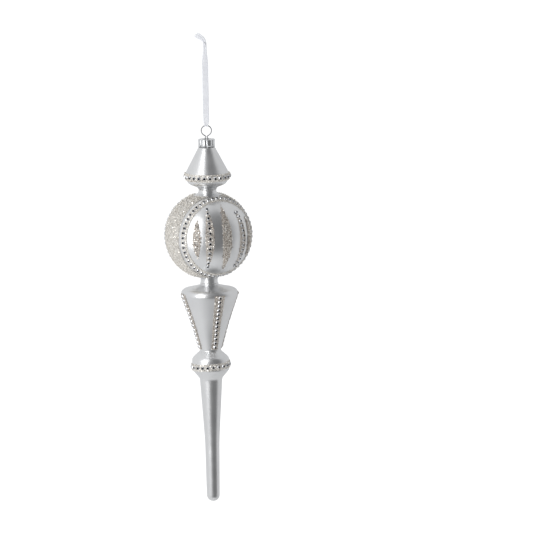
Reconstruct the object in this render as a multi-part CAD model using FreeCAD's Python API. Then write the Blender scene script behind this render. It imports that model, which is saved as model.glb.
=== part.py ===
import FreeCAD, Part
import math
import os

# Hanging glass ornament shaped like an icicle: a cone, a ball, a goblet, a bulb and a spike blown
# in one piece, with rows of glued stones in beds of glitter, a crimped metal cap, a spring wire
# with a ring, and a ribbon tied in a loop. Millimetres, +Z up, front towards -Y. The origin is
# the point just under the ribbon's knot from which the whole ornament hangs.

Vector = FreeCAD.Vector

# ---- driving dimensions -------------------------------------------------------------------

# Ribbon: a flat loop, its two legs one behind the other, gathered at the knot and at the ring.
ribbon_drop = 76.7            # from the origin down to the centre of the ring's top wire
ribbon_width = 5.8
ribbon_thickness = 0.2
knot_width = 3.4              # gathered width of each leg where it enters the knot
knot_gather = 15.0            # the legs are at full width this far below the knot
ring_gather_width = 3.8       # gathered width where the ribbon passes under the wire
ring_gather = 4.0             # height above the wire over which it gathers
twist_level = -39.0           # half way down the legs, where the ribbon's twist is measured
knot_radius = 1.7
knot_bottom = 0.8
knot_height = 3.2
tail_width = 4.0
tail_spacing = 0.7            # front tail to back tail, centre to centre

# Hanger: one spring wire, bent to a ring, a throat and two legs that splay inside the neck.
wire_diameter = 1.0
ring_radius = 4.95            # to the wire's centreline
throat_drop = 5.6             # ring centre down to the throat
throat_half_gap = 0.55        # where the two straight runs would meet their bends
throat_bend = 1.0
leg_splay_deg = 20.0
leg_bend = 6.0
leg_length = 18.0             # below the cap's plate
leg_clearance = 0.15          # wire to the neck's bore
ribbon_clearance = 0.1        # swinging wire to the ribbon around it

# Cap: a pressed cup with shallow flutes and a scalloped lower edge.
cap_rise = 2.65               # throat down to the cap's top face
cap_height = 7.3
cap_wall = 0.35
cap_plate = 0.4
cap_clearance = 0.35          # skirt to the glass neck
cap_flutes = 8
cap_flute_depth = 0.6
cap_edge_round = 0.6
notch_radius = 1.7
notch_height = 1.1
slot_clearance = 0.2
rim_gap = 0.05                # cap plate to the top of the glass neck

# Glass: radii and heights of the outside, from the neck's top downwards.
glass_wall = 1.0
least_round = 0.3             # tightest corner inside the glass
neck_radius = 7.0
cap_to_shoulder = 0.15        # cap's lower edge down to the shoulder under it
neck_shoulder = 0.25          # height of that shoulder
shoulder_step = 0.9           # the cone starts this much wider than the neck
cone_height = 27.4
cone_rim_radius = 22.25       # where the cone's side and the bowl below it would cross
bowl_height = 8.2
bowl_radius = 18.5
bowl_floor = 4.0              # bowl edge down to the upper neck
upper_neck_radius = 8.6
upper_neck_height = 4.9       # bowl's floor down to the ball's crown
ball_radius = 41.5
lower_neck_radius = 8.3
lower_neck_height = 5.0       # ball's foot down to the bead
neck_blend = 4.0
bead_radius = 9.6
bead_height = 2.2
shoulder_radius = 29.2        # where the shoulder and the goblet's side would cross
shoulder_fall = 4.9           # bead down to that crossing
goblet_middle_radius = 17.0
goblet_middle_drop = 34.3
goblet_foot_radius = 10.0
goblet_foot_drop = 25.3
bulb_radius = 18.1
bulb_crown = 7.4              # goblet's foot down to the bulb's side
bulb_height = 11.3
spike_top_radius = 10.9
bulb_foot = 8.8               # bulb's side down to the spike
spike_middle_radius = 7.0
spike_middle_drop = 61.5
spike_tip_radius = 6.2
spike_length = 121.7          # from the bulb to the tip

# Decoration: round foil-backed stones, set in raised beds of glitter on the glass.
stone_diameter = 3.9
stone_table = 2.3
stone_girdle = 0.5            # height of the stone's straight edge above the glass
stone_height = 1.6
glue_gap = 0.03               # glass to glitter and to the stones' backs
bed_thickness = 0.45
rim_band_height = 7.2
rim_band_drop = 0.9           # band below the crossing of the cone's side and the bowl
rim_stone_gap = 1.3           # least gap between neighbours in the row
ball_turn_deg = 28.5          # the ball's front face is turned this far to the right
ball_ring_deg = 26.5          # each ring of stones lies this far from the ball's middle plane
ball_stone_gap = 0.7
ring_bed_outside = 0.2        # glitter beyond the stones, towards the middle of the ball
ring_bed_inside = 1.5         # glitter beyond the stones, towards the face
equator_width = 26.0
equator_neck_clearance = 1.5
stripe_turns_deg = (-44.0, -30.5, -1.4, 25.6, 43.6)    # meridians, from the middle of a face
stripe_rises = (1.3, 1.7, 0.8, -1.6, 0.0)              # each stripe's middle above the ball's
stripe_bows = (0.0, 3.6, 0.0, 0.0, 0.0)                # each middle's lean from its meridian
stripe_heights = (0.46, 0.70, 0.75, 0.67, 0.46)        # half heights, of the ball's radius
stripe_widths = (7.7, 8.7, 9.5, 8.0, 7.5)
stripe_has_stones = (False, True, False, True, False)
goblet_turns_deg = (22.0, 104.5, 202.0, 292.0)         # hand-laid strips, from the front
goblet_stone_gap = 0.2
goblet_bed_top = 10.4         # width of the glitter at the strip's top
goblet_bed_foot = 5.9
goblet_row_start = 5.1        # shoulder's crossing down to the first stone
goblet_row_end = 4.2          # last stone down to the goblet's foot
goblet_bed_margin = 2.4       # glitter beyond the end stones
bulb_stone_gap = 1.25
bulb_band_height = 6.4
bulb_band_drop = 1.6          # band below the middle of the bulb's side
bulb_band_tilt_deg = 3.8      # the hand-set band rises to the right

# ---- places worked out from the sizes -----------------------------------------------------

wire_radius = wire_diameter / 2
bore_radius = neck_radius - glass_wall
cone_top_radius = neck_radius + shoulder_step
ring_top = -ribbon_drop
ring_centre = ring_top - ring_radius
throat = ring_centre - throat_drop
cap_top = throat - cap_rise
neck_top = cap_top - cap_plate - rim_gap
neck_end = cap_top - cap_height - cap_to_shoulder
cone_top = neck_end - neck_shoulder
cone_rim = cone_top - cone_height
bowl_edge = cone_rim - bowl_height
bowl_bottom = bowl_edge - bowl_floor
ball_centre = bowl_bottom - upper_neck_height - ball_radius
bead_top = ball_centre - ball_radius - lower_neck_height
shoulder_top = bead_top - bead_height
shoulder_edge = shoulder_top - shoulder_fall
goblet_middle = shoulder_edge - goblet_middle_drop
goblet_foot = goblet_middle - goblet_foot_drop
bulb_top = goblet_foot - bulb_crown
bulb_bottom = bulb_top - bulb_height
spike_top = bulb_bottom - bulb_foot
spike_middle = spike_top - spike_middle_drop
spike_tip = spike_top - spike_length

# ---- helpers ------------------------------------------------------------------------------


def mitred(points, inset):
    """The polyline moved sideways by inset, to the right of its own direction."""
    runs = []
    for start, end in zip(points, points[1:]):
        along = (end - start).normalize()
        side = Vector(along.z, 0, -along.x) * inset
        runs.append((start + side, along))
    moved = [runs[0][0]]
    for (start, along), (next_start, next_along) in zip(runs, runs[1:]):
        crossing = along.x * next_along.z - along.z * next_along.x
        gap = next_start - start
        reach = (gap.x * next_along.z - gap.z * next_along.x) / crossing
        moved.append(start + along * reach)
    moved.append(points[-1] + (runs[-1][0] - points[-2]))
    return moved


def rounded(points, radii):
    """Edges along the points, each inner corner rounded by an arc of its own radius."""
    edges = []
    start = points[0]
    for before, corner, after, radius in zip(points, points[1:], points[2:], radii):
        incoming = (corner - before).normalize()
        outgoing = (after - corner).normalize()
        half_turn = incoming.getAngle(outgoing) / 2
        reach = radius * math.tan(half_turn)
        arc_start = corner - incoming * reach
        arc_end = corner + outgoing * reach
        inward = (outgoing - incoming).normalize()
        middle = corner + inward * radius * (1 / math.cos(half_turn) - 1)
        edges.append(Part.makeLine(start, arc_start))
        edges.append(Part.Arc(arc_start, middle, arc_end).toShape())
        start = arc_end
    edges.append(Part.makeLine(start, points[-1]))
    return edges


def inset_radii(points, radii, inset):
    """Corner radii of the moved polyline: smaller where it bulges, larger where it is hollow."""
    moved = []
    for before, corner, after, radius in zip(points, points[1:], points[2:], radii):
        incoming = corner - before
        outgoing = after - corner
        bulges = incoming.x * outgoing.z - incoming.z * outgoing.x < 0
        moved.append(max(radius - inset, least_round) if bulges else radius + inset)
    return moved


def revolved(edges):
    """A solid turned about Z from an outline that starts and ends on any radius."""
    first = edges[0].Vertexes[0].Point
    last = edges[-1].Vertexes[-1].Point
    closing = [last]
    if last.x > 1e-6:
        closing.append(Vector(0, 0, last.z))
    closing.append(Vector(0, 0, first.z))
    closing.append(first)
    caps = [Part.makeLine(start, end) for start, end in zip(closing, closing[1:])]
    face = Part.Face(Part.Wire(edges + caps))
    return face.revolve(Vector(0, 0, 0), Vector(0, 0, 1), 360)


def turned(shape, degrees, axis=Vector(0, 0, 1), centre=Vector(0, 0, 0)):
    moved = shape.copy()
    moved.rotate(centre, axis, degrees)
    return moved


def slab(low, high, reach=200.0):
    """Everything between two heights, within reach of the axis."""
    return Part.makeCylinder(reach, high - low, Vector(0, 0, low))


def export(name, shape):
    solids = shape.Solids
    body = solids[0] if len(solids) == 1 else Part.makeCompound(solids)
    body.exportStep(os.path.join("parts", name + ".step"))
    print(name, len(solids), "solids", round(sum(solid.Volume for solid in solids), 2), "mm3")


# ---- glass outline ------------------------------------------------------------------------


def upper_points():
    """Neck, cone, bowl and upper neck, down to where the ball begins."""
    return [
        Vector(neck_radius, 0, neck_top),
        Vector(neck_radius, 0, neck_end),
        Vector(cone_top_radius, 0, cone_top),
        Vector(cone_rim_radius, 0, cone_rim),
        Vector(bowl_radius, 0, bowl_edge),
        Vector(upper_neck_radius, 0, bowl_bottom),
        Vector(upper_neck_radius, 0, ball_centre),
    ]


upper_radii = [0.5, 1.5, 4.5, 6.0, 3.8]


def lower_points(with_bead):
    """Lower neck, bead, goblet, bulb and spike, from where the ball ends."""
    neck = [Vector(lower_neck_radius, 0, ball_centre)]
    if with_bead:
        neck += [
            Vector(lower_neck_radius, 0, bead_top),
            Vector(bead_radius, 0, bead_top - bead_height / 2),
        ]
    return neck + [
        Vector(lower_neck_radius, 0, shoulder_top),
        Vector(shoulder_radius, 0, shoulder_edge),
        Vector(goblet_middle_radius, 0, goblet_middle),
        Vector(goblet_foot_radius, 0, goblet_foot),
        Vector(bulb_radius, 0, bulb_top),
        Vector(bulb_radius, 0, bulb_bottom),
        Vector(spike_top_radius, 0, spike_top),
        Vector(spike_middle_radius, 0, spike_middle),
        Vector(spike_tip_radius, 0, spike_tip),
        Vector(0, 0, spike_tip),
    ]


lower_radii = [0.4, 5.0, 260.0, 1.4, 5.0, 5.0, 5.0, 300.0, 5.9]
bead_radii = [0.5, 0.6]


def blend_arc(radius, inset, side):
    """Arc that leads from a neck of this radius into the ball, above (+1) or below (-1) it."""
    ball = ball_radius - inset
    neck = radius - inset
    blend = neck_blend + inset
    across = neck + blend
    rise = math.sqrt((ball + blend) ** 2 - across ** 2)
    centre = Vector(across, 0, ball_centre + side * rise)
    on_neck = Vector(neck, 0, centre.z)
    to_ball = (Vector(0, 0, ball_centre) - centre).normalize()
    on_ball = centre + to_ball * blend
    halfway = ((on_neck - centre).normalize() + to_ball).normalize()
    middle = centre + halfway * blend
    return on_neck, middle, on_ball


def glass_outline(inset, with_bead=True):
    """The glass profile from the neck's top to the tip, moved inwards by inset."""
    upper = upper_points()
    lower = lower_points(with_bead)
    low_radii = (bead_radii if with_bead else []) + lower_radii
    top_neck, top_middle, top_ball = blend_arc(upper_neck_radius, inset, 1)
    foot_neck, foot_middle, foot_ball = blend_arc(lower_neck_radius, inset, -1)
    upper_line = mitred(upper, inset)
    upper_line[-1] = top_neck
    lower_line = mitred(lower, inset)
    lower_line[0] = foot_neck
    edges = rounded(upper_line, inset_radii(upper, upper_radii, inset))
    edges.append(Part.Arc(top_neck, top_middle, top_ball).toShape())
    widest = Vector(ball_radius - inset, 0, ball_centre)
    edges.append(Part.Arc(top_ball, widest, foot_ball).toShape())
    edges.append(Part.Arc(foot_ball, foot_middle, foot_neck).toShape())
    edges += rounded(lower_line, inset_radii(lower, low_radii, inset))
    return edges


# ---- glass --------------------------------------------------------------------------------

glass_solid = revolved(glass_outline(0))
cavity = revolved(glass_outline(glass_wall, with_bead=False))
mouth = Part.makeCylinder(bore_radius, 2, Vector(0, 0, neck_top - 1))
glass_body = glass_solid.cut(cavity).cut(mouth)

outline_wire = Part.Wire(glass_outline(-glue_gap))
skin = revolved(glass_outline(-glue_gap - bed_thickness)).cut(revolved(glass_outline(-glue_gap)))


# ---- stones and glitter -------------------------------------------------------------------


def stone_at(place, outward):
    """One faceted stone, its flat back on the place, facing outwards."""
    girdle = stone_diameter / 2
    profile = [
        Vector(0, 0, 0),
        Vector(girdle, 0, 0),
        Vector(girdle, 0, stone_girdle),
        Vector(stone_table / 2, 0, stone_height),
        Vector(0, 0, stone_height),
        Vector(0, 0, 0),
    ]
    stone = Part.Face(Part.makePolygon(profile)).revolve(Vector(0, 0, 0), Vector(0, 0, 1), 360)
    stone.Placement = FreeCAD.Placement(place, FreeCAD.Rotation(Vector(0, 0, 1), outward))
    return stone


def outline_radius(level):
    """Radius of the glued outline at a height."""
    line = Part.makeLine(Vector(0, 0, level), Vector(3 * ball_radius, 0, level))
    return outline_wire.distToShape(line)[1][0][0].x


def seat_on_outline(level):
    """The place on the glued outline at a height, and the way it faces."""
    outside = Vector(outline_radius(level) + stone_height, 0, level)
    seat = outline_wire.distToShape(Part.Vertex(outside))[1][0][0]
    return seat, (outside - seat).normalize()


def stone_row_around(gap, level, tilt_deg=0.0):
    """Stones round the glass at one level, or along a ring that rises to the right."""
    radius = outline_radius(level)
    slope = math.tan(math.radians(tilt_deg)) * radius
    count = int(2 * math.pi * radius / (stone_diameter + gap))
    stones = []
    for index in range(count):
        azimuth = 360.0 * index / count
        rise = slope * math.cos(math.radians(azimuth))
        seat, outward = seat_on_outline(level + rise)
        stones.append(turned(stone_at(seat, outward), azimuth))
    return Part.makeCompound(stones)


def face_frame(turn_deg):
    """Outward and sideways directions of the ball's face that looks to this azimuth."""
    turn = math.radians(turn_deg)
    outward = Vector(math.sin(turn), -math.cos(turn), 0)
    sideways = Vector(math.cos(turn), math.sin(turn), 0)
    return outward, sideways


ball_middle = Vector(0, 0, ball_centre)
glued_ball = ball_radius + glue_gap
ring_offset = glued_ball * math.sin(math.radians(ball_ring_deg))


def ball_ring_stones_at(outward, sideways):
    """Stones round the edge of a face, on a plane square to outward."""
    ring = glued_ball * math.cos(math.radians(ball_ring_deg))
    count = int(2 * math.pi * ring / (stone_diameter + ball_stone_gap))
    stones = []
    for index in range(count):
        angle = 2 * math.pi * index / count
        direction = sideways * (ring * math.sin(angle)) + outward * ring_offset
        direction += Vector(0, 0, ring * math.cos(angle))
        stones.append(stone_at(ball_middle + direction, direction.normalize()))
    return Part.makeCompound(stones)


def box_across(outward, sideways, low, high):
    """A wide block between two planes square to outward, low and high from the ball's centre."""
    reach = 3 * ball_radius
    corner = ball_middle + outward * low - sideways * (reach / 2) - Vector(0, 0, reach / 2)
    square = [
        corner,
        corner + sideways * reach,
        corner + sideways * reach + Vector(0, 0, reach),
        corner + Vector(0, 0, reach),
        corner,
    ]
    return Part.Face(Part.makePolygon(square)).extrude(outward * (high - low))


def stripe_prism(outward, sideways, rise, bow, half_height, width):
    """A lens-shaped column, bowed sideways, that cuts one stripe out of the glitter skin."""
    middle = ball_middle + Vector(0, 0, rise)
    top = middle + Vector(0, 0, half_height)
    foot = middle - Vector(0, 0, half_height)
    right = middle + sideways * (bow + width / 2)
    left = middle + sideways * (bow - width / 2)
    lens = Part.Wire([Part.Arc(top, right, foot).toShape(), Part.Arc(foot, left, top).toShape()])
    return Part.Face(lens).extrude(outward * (1.5 * ball_radius))


def stripe_stones(outward, sideways, rise, bow, half_height):
    """Stones up the middle of a stripe, evenly spaced by the angle up the ball."""
    reach = half_height - stone_diameter / 2
    lowest = math.asin((rise - reach) / glued_ball)
    highest = math.asin((rise + reach) / glued_ball)
    gaps = int((highest - lowest) * glued_ball / (stone_diameter + ball_stone_gap))
    stones = []
    for index in range(gaps + 1):
        angle = lowest + (highest - lowest) * index / gaps
        height = glued_ball * math.sin(angle)
        across = bow * (1 - ((height - rise) / half_height) ** 2)
        depth = math.sqrt(glued_ball ** 2 - height ** 2 - across ** 2)
        direction = sideways * across + outward * depth + Vector(0, 0, height)
        stones.append(stone_at(ball_middle + direction, direction.normalize()))
    return Part.makeCompound(stones)


def goblet_strip(azimuth):
    """One row of stones down the goblet, in a bed of glitter that narrows downwards."""
    first = shoulder_edge - goblet_row_start
    last = goblet_foot + goblet_row_end
    side = math.hypot(outline_radius(first) - outline_radius(last), first - last)
    gaps = int(side / (stone_diameter + goblet_stone_gap))
    stones = []
    for index in range(gaps + 1):
        level = first + (last - first) * index / gaps
        seat, outward = seat_on_outline(level)
        stones.append(stone_at(seat, outward))
    top = first + goblet_bed_margin
    foot = last - goblet_bed_margin
    corners = [
        Vector(0, -goblet_bed_top / 2, top),
        Vector(0, goblet_bed_top / 2, top),
        Vector(0, goblet_bed_foot / 2, foot),
        Vector(0, -goblet_bed_foot / 2, foot),
        Vector(0, -goblet_bed_top / 2, top),
    ]
    column = Part.Face(Part.makePolygon(corners)).extrude(Vector(2 * shoulder_radius, 0, 0))
    bed = skin.common(column)
    return turned(Part.makeCompound(stones), azimuth), turned(bed, azimuth)


# ---- hanger, cap and ribbon ---------------------------------------------------------------


def leg_place(level):
    """Distance of a splayed wire leg from the axis at a height above its lower bend."""
    return throat_half_gap + (throat - level) * math.tan(math.radians(leg_splay_deg))


def hanger_wire():
    """Ring, throat and splayed legs, swept from one leg's end to the other's."""
    spread = bore_radius - wire_radius - leg_clearance
    spread_level = throat - (spread - throat_half_gap) / math.tan(math.radians(leg_splay_deg))
    leg_end = cap_top - cap_plate - leg_length
    corner_angle = math.atan2(-throat_drop, throat_half_gap)
    corner_distance = math.hypot(throat_drop, throat_half_gap)
    tangent_angle = corner_angle + math.acos(ring_radius / corner_distance)
    across = ring_radius * math.cos(tangent_angle)
    below = ring_centre + ring_radius * math.sin(tangent_angle)
    right = [
        Vector(across, 0, below),
        Vector(throat_half_gap, 0, throat),
        Vector(spread, 0, spread_level),
        Vector(spread, 0, leg_end),
    ]
    left = [Vector(-point.x, 0, point.z) for point in reversed(right)]
    ring = Part.Arc(left[-1], Vector(0, 0, ring_top), right[0]).toShape()
    edges = rounded(left, [leg_bend, throat_bend])
    edges.append(ring)
    edges += rounded(right, [throat_bend, leg_bend])
    section = Part.Wire(Part.makeCircle(wire_radius, left[0], Vector(0, 0, 1)))
    return Part.Wire(edges).makePipeShell([section], True, False)


def fluted_prism(valley_radius, high, low):
    """A column whose outline is a ring of shallow outward arcs, from high down to low."""
    arcs = []
    step = 2 * math.pi / cap_flutes
    crest = valley_radius + cap_flute_depth
    for index in range(cap_flutes):
        places = []
        for part, radius in ((0, valley_radius), (0.5, crest), (1, valley_radius)):
            angle = (index + part) * step
            places.append(Vector(radius * math.cos(angle), radius * math.sin(angle), high))
        arcs.append(Part.Arc(*places).toShape())
    return Part.Face(Part.Wire(arcs)).extrude(Vector(0, 0, low - high))


def cap():
    """Crimped cup over the neck, slotted for the wire and scalloped along its lower edge."""
    inner_valley = neck_radius + cap_clearance
    outer_valley = inner_valley + cap_wall
    crest = outer_valley + cap_flute_depth
    cap_bottom = cap_top - cap_height
    envelope = Part.makeCylinder(crest, cap_height, Vector(0, 0, cap_bottom))
    top_edge = [edge for edge in envelope.Edges if edge.BoundBox.ZMin > cap_top - cap_wall]
    envelope = envelope.makeFillet(cap_edge_round, top_edge)
    shell = fluted_prism(outer_valley, cap_top, cap_bottom).common(envelope)
    shell = shell.cut(fluted_prism(inner_valley, cap_top - cap_plate, cap_bottom - 1))
    for index in range(cap_flutes):
        angle = 2 * math.pi * index / cap_flutes
        outward = Vector(math.cos(angle), math.sin(angle), 0)
        centre = Vector(0, 0, cap_bottom + notch_height - notch_radius)
        notch = Part.makeCylinder(notch_radius, crest + 1, centre, outward)
        clear = Part.makeCylinder(inner_valley - cap_clearance, 4 * notch_radius,
                                  centre - Vector(0, 0, 2 * notch_radius))
        shell = shell.cut(notch.cut(clear))
    plate_bottom = cap_top - cap_plate
    splay = math.cos(math.radians(leg_splay_deg))
    slot_end = leg_place(plate_bottom) + wire_radius / splay + slot_clearance
    slot_half_width = wire_radius + slot_clearance
    straight = slot_end - slot_half_width
    depth = 3 * cap_plate
    low = plate_bottom - cap_plate
    slot = Part.makeBox(2 * straight, 2 * slot_half_width, depth,
                        Vector(-straight, -slot_half_width, low))
    for side in (-1, 1):
        slot = slot.fuse(Part.makeCylinder(slot_half_width, depth, Vector(side * straight, 0, low)))
    return shell.cut(slot)


def wrap_inner_radius():
    """Room for the curved wire to swing inside the straight fold of the ribbon."""
    half = ring_gather_width / 2
    sag = ring_radius - math.sqrt(ring_radius ** 2 - half ** 2)
    slope = math.asin(half / ring_radius)
    return sag + wire_radius / math.cos(slope) + ribbon_clearance


def ribbon_wrap():
    """The fold of ribbon that passes under the ring's top wire."""
    inner = wrap_inner_radius()
    half = ring_gather_width / 2
    centre = Vector(-half, 0, ring_top)
    along = Vector(1, 0, 0)
    outside = Part.makeCylinder(inner + ribbon_thickness, ring_gather_width, centre, along)
    inside = Part.makeCylinder(inner, ring_gather_width, centre, along)
    below = slab(ring_top - 2 * inner - ribbon_width, ring_top)
    return outside.cut(inside).common(below)


def leg_offset(level):
    """Distance of a leg's middle from the plane of the ring, at a height."""
    at_ring = wrap_inner_radius() + ribbon_thickness / 2
    at_knot = tail_spacing / 2
    share = (level - ring_top) / (knot_bottom - ring_top)
    return at_ring + (at_knot - at_ring) * share


def ribbon_leg(side, sections):
    """A stretch of one leg through (level, width) sections; side is -1 in front, +1 behind."""
    outlines = []
    for level, width in sections:
        middle = side * leg_offset(level)
        near = middle - ribbon_thickness / 2
        far = middle + ribbon_thickness / 2
        half = width / 2
        outlines.append(Part.makePolygon([
            Vector(-half, near, level),
            Vector(half, near, level),
            Vector(half, far, level),
            Vector(-half, far, level),
            Vector(-half, near, level),
        ]))
    return Part.makeLoft(outlines, True, True)


def ribbon_tail(side, points):
    """A loose end above the knot, flat to the front, along the points' rounded line."""
    first = (points[1] - points[0]).Length
    second = (points[2] - points[1]).Length
    root = points[0] - (points[1] - points[0]).normalize() * tail_width
    half_turn = (points[1] - points[0]).getAngle(points[2] - points[1]) / 2
    bend = 0.45 * min(first, second) / math.tan(half_turn)
    print("tail bend radius", round(bend, 2))
    borders = []
    for inset in (tail_width / 2, -tail_width / 2):
        borders.append(rounded(mitred([root] + points[1:], inset), [bend + inset]))
    right, left = borders
    ends = [
        Part.makeLine(right[-1].Vertexes[-1].Point, left[-1].Vertexes[-1].Point),
        Part.makeLine(left[0].Vertexes[0].Point, right[0].Vertexes[0].Point),
    ]
    outline = Part.Wire(Part.__sortEdges__(right + left + ends))
    tail = Part.Face(outline).extrude(Vector(0, ribbon_thickness, 0))
    tail.translate(Vector(0, side * tail_spacing / 2 - ribbon_thickness / 2, 0))
    return tail.cut(slab(points[0].z - 2 * tail_width, points[0].z))


def ribbon_knot():
    barrel = Part.makeCylinder(knot_radius, knot_height, Vector(0, 0, knot_bottom))
    rims = [edge for edge in barrel.Edges if abs(edge.BoundBox.ZLength) < 1e-6]
    return barrel.makeFillet(knot_radius / 2, rims)


# ---- the parts ----------------------------------------------------------------------------

os.makedirs("parts", exist_ok=True)

export("glass_body", glass_body)
export("cap", cap())
export("hanger_wire", hanger_wire())

upper_sections = [(twist_level, ribbon_width), (knot_bottom - knot_gather, ribbon_width),
                  (knot_bottom, knot_width)]
lower_sections = [(ring_top, ring_gather_width), (ring_top + ring_gather, ribbon_width),
                  (twist_level, ribbon_width)]
knot_top = knot_bottom + knot_height
front_tail = [Vector(0, 0, knot_top), Vector(-1.6, 0, 8.4), Vector(-8.0, 0, 12.5)]
back_tail = [Vector(0, 0, knot_top), Vector(-1.9, 0, 7.6), Vector(-8.4, 0, 10.7)]
for name, side, tail in (("front", -1, front_tail), ("back", 1, back_tail)):
    export("ribbon_upper_" + name, ribbon_leg(side, upper_sections))
    export("ribbon_lower_" + name, ribbon_leg(side, lower_sections))
    export("ribbon_tail_" + name, ribbon_tail(side, tail))
export("ribbon_wrap", ribbon_wrap())
export("ribbon_knot", ribbon_knot())

rim_level = cone_rim - rim_band_drop
export("stones_cone_rim", stone_row_around(rim_stone_gap, rim_level))
export("glitter_cone_rim", skin.common(slab(rim_level - rim_band_height / 2,
                                            rim_level + rim_band_height / 2)))

ball_skin = Part.makeSphere(glued_ball + bed_thickness, ball_middle)
ball_skin = ball_skin.cut(Part.makeSphere(glued_ball, ball_middle))
for name, turn_deg in (("front", ball_turn_deg), ("back", ball_turn_deg + 180)):
    outward, sideways = face_frame(turn_deg)
    export("stones_ball_ring_" + name, ball_ring_stones_at(outward, sideways))
    ring_low = ring_offset - stone_diameter / 2 - ring_bed_outside
    ring_high = ring_offset + stone_diameter / 2 + ring_bed_inside
    ring_slab = box_across(outward, sideways, ring_low, ring_high)
    export("glitter_ball_ring_" + name, ball_skin.common(ring_slab))
    sizes = zip(stripe_turns_deg, stripe_rises, stripe_bows, stripe_heights, stripe_widths)
    for number, (stripe_deg, rise, bow, height, width) in enumerate(sizes, start=1):
        outward, sideways = face_frame(turn_deg + stripe_deg)
        half_height = height * ball_radius
        prism = stripe_prism(outward, sideways, rise, bow, half_height, width)
        export("glitter_stripe_%s_%d" % (name, number), ball_skin.common(prism))
        if stripe_has_stones[number - 1]:
            row = stripe_stones(outward, sideways, rise, bow, half_height)
            export("stones_stripe_%s_%d" % (name, number), row)

outward, sideways = face_frame(ball_turn_deg)
middle_slab = box_across(outward, sideways, -equator_width / 2, equator_width / 2)
neck_keep_out = upper_neck_radius + neck_blend + equator_neck_clearance
neck_column = Part.makeCylinder(neck_keep_out, 4 * ball_radius,
                                ball_middle - Vector(0, 0, 2 * ball_radius))
export("glitter_ball_middle", ball_skin.common(middle_slab).cut(neck_column))

for number, turn_deg in enumerate(goblet_turns_deg, start=1):
    stones, bed = goblet_strip(turn_deg - 90)
    export("stones_goblet_%d" % number, stones)
    export("glitter_goblet_%d" % number, bed)

band_level = (bulb_top + bulb_bottom) / 2 - bulb_band_drop
export("stones_bulb", stone_row_around(bulb_stone_gap, band_level, bulb_band_tilt_deg))
band_slab = slab(band_level - bulb_band_height / 2, band_level + bulb_band_height / 2)
band_slab = turned(band_slab, bulb_band_tilt_deg, Vector(0, -1, 0), Vector(0, 0, band_level))
export("glitter_bulb", skin.common(band_slab))
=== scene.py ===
# %% [markdown]
# A hanging glass icicle: a cone, a ball, a goblet, a bulb and a spike, blown in one piece of thin
# glass and silvered inside, with a frosted silver coat outside. Rows of foil-backed stones sit in
# The frame from the design step gives every place, and its joints move the pieces. Each new piece is
# built around its node in the frame, in metres; most of them ride on a body of the frame.

# %% Load the frame
import math

import bmesh
import bpy
import numpy as np
from mathutils import Matrix, Vector
from mathutils.kdtree import KDTree


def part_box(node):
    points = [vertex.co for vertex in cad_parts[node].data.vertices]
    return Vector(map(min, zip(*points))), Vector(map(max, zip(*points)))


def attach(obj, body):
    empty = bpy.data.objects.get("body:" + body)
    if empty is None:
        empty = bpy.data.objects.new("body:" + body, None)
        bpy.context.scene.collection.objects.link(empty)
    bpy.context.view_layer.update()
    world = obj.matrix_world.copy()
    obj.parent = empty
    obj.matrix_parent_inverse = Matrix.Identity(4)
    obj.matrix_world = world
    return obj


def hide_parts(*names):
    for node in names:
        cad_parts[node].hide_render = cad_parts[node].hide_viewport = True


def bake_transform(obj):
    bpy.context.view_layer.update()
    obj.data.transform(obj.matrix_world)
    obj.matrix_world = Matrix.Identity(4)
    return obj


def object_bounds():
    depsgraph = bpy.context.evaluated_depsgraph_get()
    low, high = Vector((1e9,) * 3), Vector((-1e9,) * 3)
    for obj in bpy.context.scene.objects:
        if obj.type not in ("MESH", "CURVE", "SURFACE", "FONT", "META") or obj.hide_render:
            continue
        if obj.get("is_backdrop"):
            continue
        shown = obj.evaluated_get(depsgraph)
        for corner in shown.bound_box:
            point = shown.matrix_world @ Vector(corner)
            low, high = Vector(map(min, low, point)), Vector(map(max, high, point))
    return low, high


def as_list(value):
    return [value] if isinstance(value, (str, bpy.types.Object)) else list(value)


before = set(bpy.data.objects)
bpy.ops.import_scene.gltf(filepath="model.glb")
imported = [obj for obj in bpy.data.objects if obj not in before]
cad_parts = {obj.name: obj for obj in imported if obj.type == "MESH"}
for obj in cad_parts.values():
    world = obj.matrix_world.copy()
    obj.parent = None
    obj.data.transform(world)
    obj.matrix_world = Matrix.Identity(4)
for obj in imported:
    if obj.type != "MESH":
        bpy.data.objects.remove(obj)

MM = 0.001
cad_box = [list(corner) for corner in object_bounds()]
print("frame box", [[round(value, 4) for value in corner] for corner in cad_box])

# %% [markdown]
# The camera comes first, because every later choice of size and finish is judged through it. It
# stands far off with a very long lens, a little above, which keeps the rims of the glass nearly
# flat. The ornament hangs left of the middle and leans by one degree, so the camera rolls.

# %% Camera
camera_distance = 6.0
camera_elevation = math.radians(9.0)
camera_roll = math.radians(-1.016)
camera_aim = Vector((0.0558, 0, -0.2157))
camera_back = Vector((0, -math.cos(camera_elevation), math.sin(camera_elevation)))
lens = bpy.data.cameras.new("camera")
lens.lens = 418
lens.sensor_width = 36
camera = bpy.data.objects.new("camera", lens)
camera.location = camera_aim + camera_back * camera_distance
camera.rotation_euler = (
    (-camera_back).to_track_quat("-Z", "Y").to_matrix().to_4x4() @ Matrix.Rotation(camera_roll, 4, "Z")
).to_euler()
bpy.context.collection.objects.link(camera)
bpy.context.scene.camera = camera
bpy.context.scene.view_settings.view_transform = "Standard"
print("camera at", [round(value, 3) for value in camera.location], "lens", lens.lens, "mm")

# %% [markdown]
# Polished things show the room more than themselves, so the light is a room to be mirrored. The
# studio is white almost all round, with one broad soft panel close on the left and a dark opening
# right of the camera. The opening gives silver its dark core. In a world shader the ray's own
# direction says where in the room it looks, so azimuth and height are worked out from it.

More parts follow.
